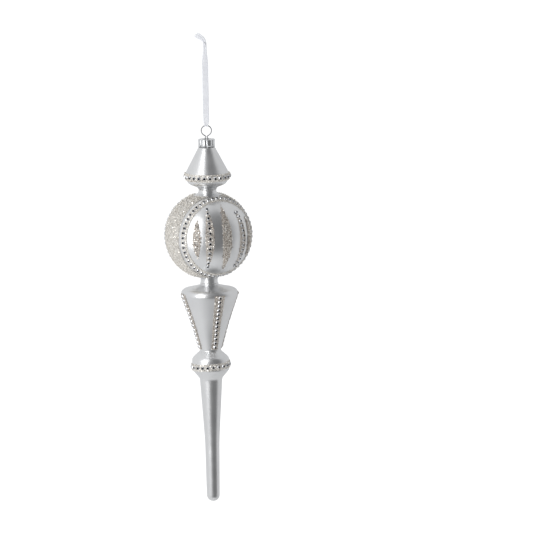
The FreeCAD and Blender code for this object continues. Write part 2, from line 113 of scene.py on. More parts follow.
# %% The studio around the object
world = bpy.data.worlds.new("studio")
bpy.context.scene.world = world
world.use_nodes = True
room = world.node_tree
room.nodes.clear()


def room_math(operation, first, second=None):
    """One Math node in the room, fed by sockets or numbers."""
    node = room.nodes.new("ShaderNodeMath")
    node.operation = operation
    for socket, value in zip(node.inputs, (first, second)):
        if isinstance(value, bpy.types.NodeSocket):
            room.links.new(value, socket)
        elif value is not None:
            socket.default_value = value
    return node.outputs[0]


def room_ramp(value, start, end, low, high):
    """A smooth change from low to high while the value goes from start to end."""
    node = room.nodes.new("ShaderNodeMapRange")
    node.interpolation_type = "SMOOTHSTEP"
    room.links.new(value, node.inputs["Value"])
    for name, number in (("From Min", start), ("From Max", end), ("To Min", low), ("To Max", high)):
        node.inputs[name].default_value = number
    return node.outputs["Result"]


direction = room.nodes.new("ShaderNodeTexCoord").outputs["Generated"]
split = room.nodes.new("ShaderNodeSeparateXYZ")
room.links.new(direction, split.inputs[0])
towards_camera = room_math("MULTIPLY", split.outputs["Y"], -1.0)
azimuth = room_math("DEGREES", room_math("ARCTAN2", split.outputs["X"], towards_camera))
height = room_math("DEGREES", room_math("ARCSINE", split.outputs["Z"]))
print("the room is read by azimuth and height, in degrees from the camera's side")

# %% [markdown]
# The dark opening fades in slowly from the left and ends sharply on the right. Below the horizon it
# weakens, because the pale floor fills it, and straight above and below there is none of it.

# %% The dark opening and the white walls
opening_left = room_ramp(azimuth, -60.0, 14.0, 0.0, 1.0)
opening_right = room_ramp(azimuth, 60.0, 84.0, 1.0, 0.0)
opening_top = room_ramp(height, 56.0, 88.0, 1.0, 0.0)
opening_low = room_ramp(height, -62.0, -28.0, 0.0, 1.0)
opening = room_math("MULTIPLY", opening_left, opening_right)
opening = room_math("MULTIPLY", opening, room_math("MULTIPLY", opening_top, opening_low))
walls = room_ramp(azimuth, 40.0, 100.0, 0.76, 0.64)
dark = room_math("MULTIPLY", opening, 0.76)
brightness = room_math("MULTIPLY", walls, room_math("SUBTRACT", 1.0, dark))
sight = room.nodes.new("ShaderNodeLightPath").outputs["Is Camera Ray"]
seen = room_math("MAXIMUM", brightness, room_math("MULTIPLY", sight, 1.1))
background = room.nodes.new("ShaderNodeBackground")
background.inputs["Color"].default_value = (0.985, 0.992, 1.0, 1.0)
room.links.new(seen, background.inputs["Strength"])
surface = room.nodes.new("ShaderNodeOutputWorld")
room.links.new(background.outputs[0], surface.inputs["Surface"])
print("room nodes", len(room.nodes))

# %% [markdown]
# The soft panel is an area light. It stands close, so from the ball it reaches below the horizon
# and from the spike it doesn't: that is why the ball carries a white patch and the spike none.

# %% Soft panel and floor


def soft_panel(name, bearing, distance, middle, width, tall, power):
    """A soft light on the circle round the object, turned to face the object's axis."""
    light = bpy.data.lights.new(name, "AREA")
    light.shape = "RECTANGLE"
    light.size = width
    light.size_y = tall
    light.energy = power
    panel = bpy.data.objects.new(name, light)
    turn = math.radians(bearing)
    place = Vector((math.sin(turn), -math.cos(turn), 0)) * distance
    panel.location = place + Vector((0, 0, middle))
    panel.rotation_euler = (-place).to_track_quat("-Z", "Y").to_euler()
    panel.visible_camera = False
    bpy.context.collection.objects.link(panel)
    print(name, "at", [round(value, 2) for value in panel.location])


soft_panel("key_panel", bearing=-36, distance=0.62, middle=0.06, width=0.30, tall=0.96, power=2.4)

floor_level = cad_box[0][2] - 0.06
floor_radius = 3.0
floor_mesh = bpy.data.meshes.new("floor")
shape = bmesh.new()
bmesh.ops.create_circle(shape, cap_ends=True, segments=64, radius=floor_radius)
bmesh.ops.translate(shape, verts=shape.verts, vec=(0, 0, floor_level))
shape.to_mesh(floor_mesh)
shape.free()
floor = bpy.data.objects.new("floor", floor_mesh)
bpy.context.collection.objects.link(floor)
floor.visible_glossy = False
pale = bpy.data.materials.new("pale_floor")
pale.use_nodes = True
pale_surface = pale.node_tree.nodes["Principled BSDF"]
pale_surface.inputs["Base Color"].default_value = (0.9, 0.9, 0.9, 1)
pale_surface.inputs["Roughness"].default_value = 0.9
pale_surface.inputs["Emission Color"].default_value = (1, 1, 1, 1)
pale_surface.inputs["Emission Strength"].default_value = 0.6
floor_mesh.materials.append(pale)
floor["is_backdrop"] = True
print("floor at", round(floor_level, 3))

# %% [markdown]
# Two small helpers serve every piece. One turns a finished bmesh into an object that stands at the
# origin, rides on a body and stands for its nodes. The other starts a material.

# %% Helpers for pieces and materials


def finish_piece(name, shape, materials, body, stands_for):
    """The bmesh as an object of the scene, riding on a body and shown in place of its nodes."""
    mesh = bpy.data.meshes.new(name)
    shape.to_mesh(mesh)
    shape.free()
    mesh.shade_smooth()
    for material in materials:
        mesh.materials.append(material)
    piece = bpy.data.objects.new(name, mesh)
    bpy.context.collection.objects.link(piece)
    if body:
        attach(piece, body)
    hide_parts(*stands_for)
    print(name, len(mesh.vertices), "vertices", len(mesh.polygons), "faces")
    return piece


class Finish:
    """A material with its Principled shader, and short calls that add and join nodes."""

    def __init__(self, name, **sockets):
        self.material = bpy.data.materials.new(name)
        self.material.use_nodes = True
        self.tree = self.material.node_tree
        self.shader = self.tree.nodes["Principled BSDF"]
        for socket, value in sockets.items():
            self.shader.inputs[socket.replace("_", " ")].default_value = value

    def node(self, kind, **sockets):
        made = self.tree.nodes.new("ShaderNode" + kind)
        for socket, value in sockets.items():
            made.inputs[socket.replace("_", " ")].default_value = value
        return made

    def join(self, output, target):
        self.tree.links.new(output, target)

    def into(self, output, socket):
        self.join(output, self.shader.inputs[socket])

    def noise(self, scale, detail=2.0, stretch=(1, 1, 1)):
        """Noise on the piece's own coordinates, in lumps of about 1 / scale metres."""
        place = self.node("TexCoord").outputs["Object"]
        mapping = self.node("Mapping", Scale=stretch)
        self.join(place, mapping.inputs["Vector"])
        noise = self.node("TexNoise", Scale=scale, Detail=detail)
        self.join(mapping.outputs[0], noise.inputs["Vector"])
        return noise.outputs["Fac"]

    def ramp(self, value, *stops):
        """Colours along a value; each stop is (position, colour)."""
        ramp = self.node("ValToRGB")
        elements = ramp.color_ramp.elements
        while len(elements) < len(stops):
            elements.new(0.5)
        for element, (position, colour) in zip(elements, stops):
            element.position = position
            element.color = (*colour, 1)
        self.join(value, ramp.inputs[0])
        return ramp.outputs[0]

    def spread(self, value, low, high):
        """The value's middle half, stretched from low to high."""
        node = self.node("MapRange", From_Min=0.25, From_Max=0.75, To_Min=low, To_Max=high)
        self.join(value, node.inputs["Value"])
        return node.outputs[0]

    def bump(self, value, distance, strength=1.0, below=None):
        node = self.node("Bump", Distance=distance, Strength=strength)
        self.join(value, node.inputs["Height"])
        if below is not None:
            self.join(below, node.inputs["Normal"])
        return node.outputs[0]


print("helpers ready")

# %% [markdown]
# The glass has two faces. Outside, the clear wall was etched and coated, so it is a satin metal:
# cloudy in its gloss, with a frost finer than the eye can part and long shallow waves left by the
# blower. Inside is the bright silver film itself. Both are metals, told apart by their roughness.

# %% Satin silver and bright silvering


def satin_silver():
    finish = Finish("satin_silver", Metallic=1.0)
    clouds = finish.noise(55, detail=3)
    finish.into(finish.ramp(clouds, (0.3, (0.80, 0.805, 0.815)), (0.7, (0.86, 0.865, 0.87))), "Base Color")
    finish.into(finish.spread(finish.noise(140, detail=4), 0.30, 0.38), "Roughness")
    waves = finish.bump(finish.noise(45, detail=1, stretch=(1, 1, 1.6)), 0.00025, 0.5)
    frost = finish.bump(finish.noise(3200, detail=2), 0.00002, 0.35, below=waves)
    finish.into(frost, "Normal")
    return finish.material


def bright_silvering():
    finish = Finish("bright_silvering", Metallic=1.0)
    stains = finish.noise(90, detail=4)
    finish.into(finish.ramp(stains, (0.35, (0.78, 0.76, 0.72)), (0.65, (0.92, 0.92, 0.92))), "Base Color")
    finish.into(finish.spread(stains, 0.08, 0.16), "Roughness")
    return finish.material


silver_outside = satin_silver()
silver_inside = bright_silvering()
print("glass finishes", silver_outside.name, silver_inside.name)

# %% [markdown]
# Blown glass is round, so its shape is one outline turned about the axis. The outline is a few
# corners joined by straight runs; each corner is then rounded by a vertex bevel, whose reach along
# the runs is the radius times the tangent of half the turn. The ball is the exception: it is an arc
# of its own centre, so a point is spun about that centre, and small spun arcs lead into the necks.

# %% The glass outline
merge_reach = 0.001 * MM
wall = 1.0 * MM
neck_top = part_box("glass_body")[1].z
ball_radius = 41.5 * MM
ball_centre = Vector((0, 0, -183.6 * MM))
upper_neck = 8.6 * MM
lower_neck = 8.3 * MM
neck_blend = 4.0 * MM

cone_corners = [            # radius, height, rounding
    (7.0, neck_top / MM, 0),
    (7.0, -97.35, 0.5),
    (7.9, -97.6, 1.5),
    (22.25, -125.0, 4.5),
    (18.5, -133.2, 6.0),
    (8.6, -137.2, 3.8),
]
goblet_corners = [
    (8.3, -230.1, 0.5),
    (9.6, -231.2, 1.1),
    (8.3, -232.3, 0.4),
    (29.2, -237.2, 5.0),
    (17.0, -271.5, 260.0),
    (10.0, -296.8, 1.4),
    (18.1, -304.2, 5.0),
    (18.1, -315.5, 5.0),
    (10.9, -324.3, 5.0),
    (7.0, -385.8, 300.0),
    (6.2, -446.0, 5.9),
    (0.0, -446.0, 0),
]


def blend_centre(neck, side):
    """Centre of the small arc between a neck and the ball, above (+1) or below (-1) the ball."""
    across = neck + neck_blend
    rise = math.sqrt((ball_radius + neck_blend) ** 2 - across ** 2)
    return Vector((across, 0, ball_centre.z + side * rise))


def sweep_point(shape, start, centre, degrees, steps):
    """Spins one vertex about a centre in the plane of the outline; gives the arc's last vertex."""
    spun = bmesh.ops.spin(shape, geom=[start], cent=centre, axis=(0, 1, 0),
                          angle=math.radians(degrees), steps=steps)
    return next(item for item in spun["geom_last"] if isinstance(item, bmesh.types.BMVert))


def corner_chain(shape, corners, start=None):
    """Vertices at the corners, joined by edges; gives them with the rounding of each."""
    chain = [(start, 0)] if start else []
    for radius, level, rounding in corners:
        vertex = shape.verts.new((radius * MM, 0, level * MM))
        if chain:
            shape.edges.new((chain[-1][0], vertex))
        chain.append((vertex, rounding * MM))
    return chain


def round_corners(shape, chain):
    """Bevels each corner of a chain to its own radius, finer where the turn is larger."""
    plans = []
    for before, here, after in zip(chain, chain[1:], chain[2:]):
        incoming = (here[0].co - before[0].co).normalized()
        outgoing = (after[0].co - here[0].co).normalized()
        turn = incoming.angle(outgoing)
        plans.append((here[0], here[1] * math.tan(turn / 2), max(6, round(turn / math.radians(7)))))
    for vertex, reach, segments in plans:
        bmesh.ops.bevel(shape, geom=[vertex], offset=reach, offset_type="OFFSET", affect="VERTICES",
                        segments=segments, profile=0.5, material=-1)


outline = bmesh.new()
upper_centre = blend_centre(upper_neck, 1)
lower_centre = blend_centre(lower_neck, -1)
chain = corner_chain(outline, cone_corners)
arc_start = outline.verts.new((upper_neck, 0, upper_centre.z))
outline.edges.new((chain[-1][0], arc_start))
chain.append((arc_start, 0))
round_corners(outline, chain)
upper_turn = math.degrees(math.atan2(upper_centre.z - ball_centre.z, upper_centre.x))
lower_turn = math.degrees(math.atan2(ball_centre.z - lower_centre.z, lower_centre.x))
on_ball = sweep_point(outline, arc_start, upper_centre, -upper_turn, 8)
off_ball = sweep_point(outline, on_ball, ball_centre, upper_turn + lower_turn, 90)
arc_end = sweep_point(outline, off_ball, lower_centre, -lower_turn, 8)
round_corners(outline, corner_chain(outline, goblet_corners, arc_end))
print("outline points", len(outline.verts), "arc end", [round(value / MM, 2) for value in arc_end.co])

# %% [markdown]
# Long straight runs get extra points before the spin. Without them the smooth shading of a rounded
# corner would bleed down the whole cone. One full spin then makes the skin, with its first and last
# outline merged, and the points on the axis are drawn into one. Thickness comes from Solidify.

# %% Turn the glass
longest_run = 2.6 * MM
turns_around = 116


def split_long_runs(shape, longest):
    """Divides the edges of a wire so that none is longer than this."""
    cuts = {}
    for edge in shape.edges:
        needed = math.ceil(edge.calc_length() / longest) - 1
        if needed > 0:
            cuts.setdefault(needed, []).append(edge)
    for needed, edges in cuts.items():
        bmesh.ops.subdivide_edges(shape, edges=edges, cuts=needed)


def turn_outline(shape, steps):
    """Spins a wire once about Z into a closed skin whose faces look outwards."""
    bmesh.ops.spin(shape, geom=shape.verts[:] + shape.edges[:], cent=(0, 0, 0), axis=(0, 0, 1),
                   angle=2 * math.pi, steps=steps, use_merge=True)
    bmesh.ops.remove_doubles(shape, verts=shape.verts, dist=merge_reach)
    bmesh.ops.dissolve_degenerate(shape, edges=shape.edges, dist=merge_reach)
    bmesh.ops.recalc_face_normals(shape, faces=shape.faces)


split_long_runs(outline, longest_run)
turn_outline(outline, turns_around)
if max(outline.faces, key=lambda face: face.calc_center_median().x).normal.x < 0:
    bmesh.ops.reverse_faces(outline, faces=outline.faces)
glass = finish_piece("glass", outline, [silver_outside, silver_inside], "ornament",
                     ["glass_body"])
thickness = glass.modifiers.new("wall", "SOLIDIFY")
thickness.thickness = wall
thickness.offset = -1
thickness.material_offset = 1

# %% [markdown]
# The stones are already placed by the design, each as a plain round solid. A copy of each node is
# merged and read stone by stone: the thinnest way through a stone is its own axis, and the end
# with the wider rim is the one that is glued down. That gives every stone a seat and a direction.

# %% Read the stones' seats
stone_nodes = sorted(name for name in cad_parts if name.startswith("stones_"))
seam_reach = 0.002 * MM
rim_depth = 0.05 * MM


def merged_copy(node):
    """A node's mesh as a bmesh whose touching corners are one."""
    shape = bmesh.new()
    shape.from_mesh(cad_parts[node].data)
    bmesh.ops.remove_doubles(shape, verts=shape.verts, dist=seam_reach)
    return shape


def islands(shape):
    """Groups of joined vertices, each as an array of places."""
    seen = set()
    for first in shape.verts:
        if first.index in seen:
            continue
        seen.add(first.index)
        group = [first]
        for vertex in group:
            for edge in vertex.link_edges:
                other = edge.other_vert(vertex)
                if other.index not in seen:
                    seen.add(other.index)
                    group.append(other)
        yield np.array([vertex.co for vertex in group])


def seat_of(places):
    """The middle of a stone's back and the way it faces."""
    middle = places.mean(axis=0)
    axis = np.linalg.eigh(np.cov((places - middle).T))[1][:, 0]
    along = (places - middle) @ axis
    across = np.linalg.norm(places - middle - np.outer(along, axis), axis=1)
    low_end = along < along.min() + rim_depth
    high_end = along > along.max() - rim_depth
    if across[low_end].max() < across[high_end].max():
        axis = -axis
        along = -along
    return Vector(middle + axis * along.min()), Vector(axis)


seats = {}
for node in stone_nodes:
    shape = merged_copy(node)
    shape.verts.index_update()
    seats[node] = [seat_of(places) for places in islands(shape)]
    shape.free()
print("stones", {node[7:]: len(found) for node, found in seats.items()})

# %% [markdown]
# A foil-backed stone looks dark through its flat table, where the eye sees deep into it, and bright
# on the sloping crown, which takes its light from the white walls. So the table and the upright
# girdle take a dark foil, painted shade that stands in for that dark look on every stone, and the
# crown a pale one. Each stone is a short eight-sided cone with its crown edges cut again.

# %% Cut the stones
stone_girdle = 1.95 * MM
stone_table = 1.2 * MM
stone_edge = 0.5 * MM
stone_crown = 1.1 * MM
stone_cut = 0.36 * MM
facets = 8


def cut_stone():
    """One stone at the origin, facing +Z, its back on the origin's plane."""
    shape = bmesh.new()
    bmesh.ops.create_circle(shape, cap_ends=True, segments=facets, radius=stone_girdle)
    back = shape.faces[:]
    edge = bmesh.ops.extrude_face_region(shape, geom=back)["geom"]
    bmesh.ops.translate(shape, verts=[v for v in edge if isinstance(v, bmesh.types.BMVert)],
                        vec=(0, 0, stone_edge))
    top = [face for face in edge if isinstance(face, bmesh.types.BMFace)]
    crown = bmesh.ops.extrude_face_region(shape, geom=top)["geom"]
    bmesh.ops.delete(shape, geom=top, context="FACES_ONLY")
    raised = [v for v in crown if isinstance(v, bmesh.types.BMVert)]
    bmesh.ops.translate(shape, verts=raised, vec=(0, 0, stone_crown))
    bmesh.ops.scale(shape, verts=raised, vec=(stone_table / stone_girdle,) * 2 + (1,))
    slopes = [e for e in shape.edges if abs(e.verts[0].co.z - e.verts[1].co.z) > 0.9 * stone_crown]
    bmesh.ops.bevel(shape, geom=slopes, offset=stone_cut, offset_type="OFFSET", affect="EDGES",
                    segments=1, profile=0.5, material=-1)
    bmesh.ops.recalc_face_normals(shape, faces=shape.faces)
    # Table, girdle and back faces take the second material, the painted dark foil.
    for face in shape.faces:
        if abs(face.normal.z) > 0.99 or abs(face.normal.z) < 0.01:
            face.material_index = 1
    return shape


stone_shape = cut_stone()
print("one stone has", len(stone_shape.faces), "faces")

# %% [markdown]
# Hundreds of copies are quickest as arrays: the cut stone's places and faces are read once, and
# every copy is turned and moved in one sum. Each copy also carries a random tint, which the
# material reads, so that no two neighbours are quite the same.

# %% Copy a small shape many times


def shape_arrays(shape):
    """Corner places, faces and face materials of a small bmesh, which isn't needed after that."""
    shape.verts.index_update()
    places = np.array([vertex.co for vertex in shape.verts])
    faces = [[vertex.index for vertex in face.verts] for face in shape.faces]
    finishes = [face.material_index for face in shape.faces]
    shape.free()
    return places, faces, finishes


def copies(name, template, turns, sizes, centres, tints, materials, body, stands_for=()):
    """One piece made of many turned, sized and moved copies of a template, flat shaded."""
    places, faces, finishes = template
    moved = np.einsum("nij,kj->nki", turns, places) * sizes[:, None, None] + centres[:, None, :]
    step = len(places)
    count = len(centres)
    mesh = bpy.data.meshes.new(name)
    for material in materials:
        mesh.materials.append(material)
    mesh.vertices.add(count * step)
    mesh.vertices.foreach_set("co", moved.astype(np.float32).ravel())
    corners = np.concatenate([np.array(face) for face in faces])
    loops = (corners[None, :] + step * np.arange(count)[:, None]).ravel()
    lengths = np.array([len(face) for face in faces])
    starts = np.concatenate([[0], np.cumsum(lengths)[:-1]])
    mesh.loops.add(len(loops))
    mesh.loops.foreach_set("vertex_index", loops.astype(np.int32))
    mesh.polygons.add(count * len(faces))
    all_starts = (starts[None, :] + len(corners) * np.arange(count)[:, None]).ravel()
    mesh.polygons.foreach_set("loop_start", all_starts.astype(np.int32))
    mesh.polygons.foreach_set("material_index", np.tile(finishes, count).astype(np.int32))
    mesh.update(calc_edges=True)
    mesh.validate()
    mesh.shade_flat()
    tint = mesh.attributes.new("tint", "FLOAT", "POINT")
    tint.data.foreach_set("value", np.repeat(tints, step).astype(np.float32))
    piece = bpy.data.objects.new(name, mesh)
    bpy.context.collection.objects.link(piece)
    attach(piece, body)
    if stands_for:
        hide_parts(*stands_for)
    print(name, count, "copies", len(mesh.polygons), "faces")


def turns_to(axes, spins):
    """Rotations that take +Z to each axis, after a spin about it, as an array of matrices."""
    turns = []
    for axis, spin in zip(axes, spins):
        turn = Vector(axis).to_track_quat("Z", "Y").to_matrix() @ Matrix.Rotation(spin, 3, "Z")
        turns.append([list(row) for row in turn])
    return np.array(turns)


def stone_foil(name, roughness, dimmest, middle, brightest):
    finish = Finish(name, Metallic=1.0, Roughness=roughness)
    tint = finish.node("Attribute")
    tint.attribute_name = "tint"
    finish.into(finish.ramp(tint.outputs["Fac"], (0.0, dimmest), (0.5, middle), (1.0, brightest)),
                "Base Color")
    return finish.material


# The second foil is painted shade: a near-black colour standing in for the dark reflection in each table
# and girdle.
foils = [
    stone_foil("foil_crown", 0.32, (0.80, 0.81, 0.84), (0.90, 0.91, 0.93), (0.97, 0.97, 0.98)),
    stone_foil("foil_painted_shade", 0.20, (0.012, 0.014, 0.02), (0.03, 0.035, 0.045), (0.09, 0.095, 0.11)),
]
stone_template = shape_arrays(stone_shape)
stone_lean = 0.035
random = np.random.default_rng(7)
for node, found in seats.items():
    facing = [axis + Vector(random.normal(0, stone_lean, 3)) for _, axis in found]
    copies("cut_" + node, stone_template, turns_to(facing, random.uniform(0, 2 * math.pi, len(found))),
           random.uniform(0.97, 1.0, len(found)), np.array([place for place, _ in found]),
           random.uniform(0, 1, len(found)), foils, "ornament", [node])

# %% [markdown]
# Glitter is thousands of flat hexagons and small glass grains thrown on wet glue, so it is made as
# that. The design's thin bed stays as the glue. Grains are scattered over the bed's outward faces,
# lying askew, and they keep clear of the stones. Each kind of bed has its own grain size and number
# per area, because a coarse grain needs more room than a fine one.

# %% Glue and grains


def glitter_glue(name, dark, middle, light):
    finish = Finish(name, Metallic=0.35, Roughness=0.45)
    grit = finish.noise(1500, detail=3)
    finish.into(finish.ramp(grit, (0.3, dark), (0.5, middle), (0.7, light)), "Base Color")
    finish.into(finish.bump(grit, 0.0003, 0.9), "Normal")
    return finish.material


def glitter_grain():
    finish = Finish("glitter_grain", Metallic=0.85)
    tint = finish.node("Attribute")
    tint.attribute_name = "tint"
    # The darkest tints are painted shade between the grains; the rest is random tone from grain to grain.
    finish.into(finish.ramp(tint.outputs["Fac"], (0.0, (0.20, 0.17, 0.15)), (0.18, (0.50, 0.43, 0.37)),
                            (0.4, (0.78, 0.73, 0.67)), (0.75, (0.92, 0.90, 0.86)),
                            (1.0, (1.0, 0.98, 0.94))), "Base Color")
    finish.into(finish.spread(tint.outputs["Fac"], 0.32, 0.16), "Roughness")
    return finish.material


def hexagon_flake():
    shape = bmesh.new()
    bmesh.ops.create_circle(shape, cap_ends=True, segments=6, radius=0.5)
    raised = bmesh.ops.extrude_face_region(shape, geom=shape.faces[:])["geom"]
    bmesh.ops.translate(shape, verts=[v for v in raised if isinstance(v, bmesh.types.BMVert)],
                        vec=(0, 0, 0.14))
    bmesh.ops.recalc_face_normals(shape, faces=shape.faces)
    return shape


def glass_grain():
    shape = bmesh.new()
    bmesh.ops.create_icosphere(shape, subdivisions=1, radius=0.42)
    bmesh.ops.scale(shape, verts=shape.verts, vec=(1, 0.85, 0.75))
    return shape


champagne_glue = glitter_glue("champagne_glue", (0.28, 0.25, 0.22), (0.47, 0.43, 0.39),
                              (0.70, 0.67, 0.63))
pale_glue = glitter_glue("pale_glue", (0.52, 0.50, 0.46), (0.70, 0.68, 0.64), (0.86, 0.84, 0.81))
grain_material = glitter_grain()
grain_templates = [shape_arrays(hexagon_flake()), shape_arrays(glass_grain())]
stone_places = [place for found in seats.values() for place, _ in found]
stone_tree = KDTree(len(stone_places))
for index, place in enumerate(stone_places):
    stone_tree.insert(place, index)
stone_tree.balance()
clear_of_stone = 2.0 * MM
grain_lift = 0.04 * MM
grain_lean = 0.34
round_share = 0.34
round_size = 0.75


def outward_triangles(node):
    """Corners and normals of the triangles of a bed that look away from the glass."""
    shape = merged_copy(node)
    bmesh.ops.triangulate(shape, faces=shape.faces)
    on_ball = "ball" in node or "stripe" in node
    least_facing = 0.7 if on_ball else 0.25
    kept = []
    for face in shape.faces:
        middle = face.calc_center_median()
        away = middle - ball_centre if on_ball else Vector((middle.x, middle.y, 0))
        if face.normal.dot(away.normalized()) > least_facing:
            kept.append([*(vertex.co for vertex in face.verts), face.normal])
    shape.free()
    return np.array(kept)


def scatter(node, per_square_mm, sizes, strays, lowest_tint, seed):
    """Grains over one bed, straying this many mm: two in three are flakes, the others round."""
    dice = np.random.default_rng(seed)
    triangles = outward_triangles(node)
    first, second, third, normals = (triangles[:, index] for index in range(4))
    areas = np.linalg.norm(np.cross(second - first, third - first), axis=1) / 2
    count = int(areas.sum() / MM ** 2 * per_square_mm)
    chosen = dice.choice(len(areas), count, p=areas / areas.sum())
    along, aside = dice.uniform(0, 1, (2, count))
    beyond = along + aside > 1
    along[beyond] = 1 - along[beyond]
    aside[beyond] = 1 - aside[beyond]
    places = first[chosen] + along[:, None] * (second - first)[chosen]
    places += aside[:, None] * (third - first)[chosen]
    places += dice.normal(0, strays * MM, places.shape) + normals[chosen] * grain_lift
    clear = np.array([stone_tree.find(place)[2] > clear_of_stone for place in places])
    axes = normals[chosen] + dice.normal(0, grain_lean, places.shape)
    kinds = dice.uniform(0, 1, count) < round_share
    for kind, (word, template) in enumerate(zip(("flakes", "grains"), grain_templates)):
        mine = clear & (kinds == bool(kind))
        number = int(mine.sum())
        # Each grain takes a random tint above a floor; low tints give rough dark grains, partly painted
        # shade between grains.
        copies("%s_%s" % (word, node[8:]), template,
               turns_to(axes[mine], dice.uniform(0, 2 * math.pi, number)),
               dice.uniform(*sizes, number) * MM * (round_size if kind else 1.0), places[mine],
               dice.uniform(lowest_tint, 1, number), [grain_material], "ornament")


bed_nodes = sorted(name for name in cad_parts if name.startswith("glitter_"))
for seed, node in enumerate(bed_nodes, start=20):
    warm = "stripe" in node or "goblet" in node
    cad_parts[node].data.materials.clear()
    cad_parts[node].data.materials.append(champagne_glue if warm else pale_glue)
    # The fifth number is the floor of the tints: a low floor lets in dark grains, which are partly painted
    # shade.
    if node == "glitter_ball_middle":
        scatter(node, 2.6, (0.6, 1.0), 0.45, 0.42, seed)
    elif "stripe" in node and node[-1] in "135":
        scatter(node, 1.9, (0.8, 1.35), 0.45, 0.0, seed)
    else:
        scatter(node, 2.8, (0.5, 0.95), 0.25, 0.0 if warm else 0.3, seed)

# %% [markdown]
# The cap is a cup of thin sheet, pressed into shallow flutes and nipped into scallops along its
# lower edge. It grows ring by ring: a slot for the wire, a flat top, a rounded shoulder, and a
# fluted skirt. Each new ring is an extrusion of the last one, moved to where a formula says.

# %% Press the cap
cap_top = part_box("cap")[1].z
cap_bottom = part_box("cap")[0].z
cap_crest = 8.3 * MM
flute_depth = 0.6 * MM
flutes = 8
cap_wall = 0.3 * MM
shoulder_round = 0.75 * MM
scallop_radius = 1.7 * MM
scallop_height = 1.1 * MM
slot_reach = 1.69 * MM
slot_round = 0.7 * MM
dish_inset = 3.0 * MM
dish_depth = 0.12 * MM
skirt_waist = 0.12 * MM
ring_points = 192


def flute(angle):
    """Radius of the skirt: a row of shallow outward arcs with a valley between."""
    return cap_crest - flute_depth * (1 - math.sqrt(abs(math.sin(angle * flutes / 2))))


def lower_edge(angle):
    """Height of the scalloped edge, which rises at each valley."""
    step = 2 * math.pi / flutes
    aside = abs((angle + step / 2) % step - step / 2) * cap_crest
    rise = math.sqrt(max(scallop_radius ** 2 - aside ** 2, 0)) - scallop_radius + scallop_height
    return cap_bottom + max(rise, 0)


def slot_point(angle):
    """A point on the rim of the slot, which has straight sides and round ends."""
    side = math.copysign(slot_reach, math.cos(angle))
    return Vector((side + slot_round * math.cos(angle), slot_round * math.sin(angle), cap_top))


def skirt_point(angle, inset, level):
    radius = flute(angle) - inset
    return Vector((radius * math.cos(angle), radius * math.sin(angle), level))


def next_ring(shape, ring, place):
    """Extrudes a closed ring of edges and moves each new point to where place says."""
    grown = bmesh.ops.extrude_edge_only(shape, edges=ring)["geom"]
    for vertex in grown:
        if isinstance(vertex, bmesh.types.BMVert):
            vertex.co = place(math.atan2(vertex.co.y, vertex.co.x))
    return [edge for edge in grown if isinstance(edge, bmesh.types.BMEdge)
            and all(vertex in grown for vertex in edge.verts) and len(edge.link_faces) == 1]


cap_shape = bmesh.new()
bmesh.ops.create_circle(cap_shape, segments=ring_points, radius=cap_crest - shoulder_round)
for vertex in cap_shape.verts:
    vertex.co = skirt_point(math.atan2(vertex.co.y, vertex.co.x), shoulder_round, cap_top)
first_ring = cap_shape.edges[:]
ring = first_ring
for step in range(1, 5):
    bend = math.radians(90 * step / 4)
    inset = shoulder_round * (1 - math.sin(bend))
    drop = shoulder_round * (1 - math.cos(bend))
    ring = next_ring(cap_shape, ring, lambda angle: skirt_point(angle, inset, cap_top - drop))
for share in (0.3, 0.6, 1.0):
    ring = next_ring(cap_shape, ring, lambda angle: skirt_point(
        angle, skirt_waist * math.sin(math.pi * share),
        cap_top - shoulder_round + share * (lower_edge(angle) - cap_top + shoulder_round)))
slot_ring = next_ring(cap_shape, first_ring,
                      lambda angle: skirt_point(angle, dish_inset, cap_top - dish_depth))
next_ring(cap_shape, slot_ring, slot_point)
bmesh.ops.recalc_face_normals(cap_shape, faces=cap_shape.faces)


def pressed_tin():
    finish = Finish("pressed_tin", Metallic=1.0)
    clouds = finish.noise(400, detail=4)
    finish.into(finish.ramp(clouds, (0.3, (0.70, 0.71, 0.73)), (0.7, (0.86, 0.87, 0.88))), "Base Color")
    finish.into(finish.spread(finish.noise(700, detail=3, stretch=(1, 1, 0.2)), 0.12, 0.24), "Roughness")
    finish.into(finish.bump(finish.noise(1800, detail=2, stretch=(1, 1, 0.15)), 0.00003, 0.5), "Normal")
    return finish.material


cap_piece = finish_piece("crimped_cap", cap_shape, [pressed_tin()], "cap", ["cap"])
sheet = cap_piece.modifiers.new("sheet", "SOLIDIFY")
sheet.thickness = cap_wall
sheet.offset = -1

# %% [markdown]
# The wire ring needs no new shape: the frame's own sweep is round and smooth. It only needs the
# look of drawn steel, which is bright, with faint lines along it and a little unevenness.

# %% Drawn wire


def drawn_wire():
    finish = Finish("drawn_wire", Metallic=1.0)
    clouds = finish.noise(900, detail=3)
    finish.into(finish.ramp(clouds, (0.3, (0.28, 0.28, 0.29)), (0.7, (0.42, 0.42, 0.43))), "Base Color")
    finish.into(finish.spread(clouds, 0.16, 0.28), "Roughness")
    finish.into(finish.bump(finish.noise(4000, detail=1), 0.00001, 0.4), "Normal")
    return finish.material


wire_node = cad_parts["hanger_wire"]
wire_node.data.materials.clear()
wire_node.data.materials.append(drawn_wire())
print("hanger_wire carries", wire_node.data.materials[0].name)

# %% [markdown]
# The ribbon is sheer organza, so thin that two layers still let the light through. It is one band,
# passed through the ring and knotted, which gives two straight legs and two loose tails. Each leg
# with its tail is one flat cord on one smooth curve. A grid is laid along points read from that
# curve, narrower where the band is gathered, and pleated a little there.

# %% Sheer ribbon cloth


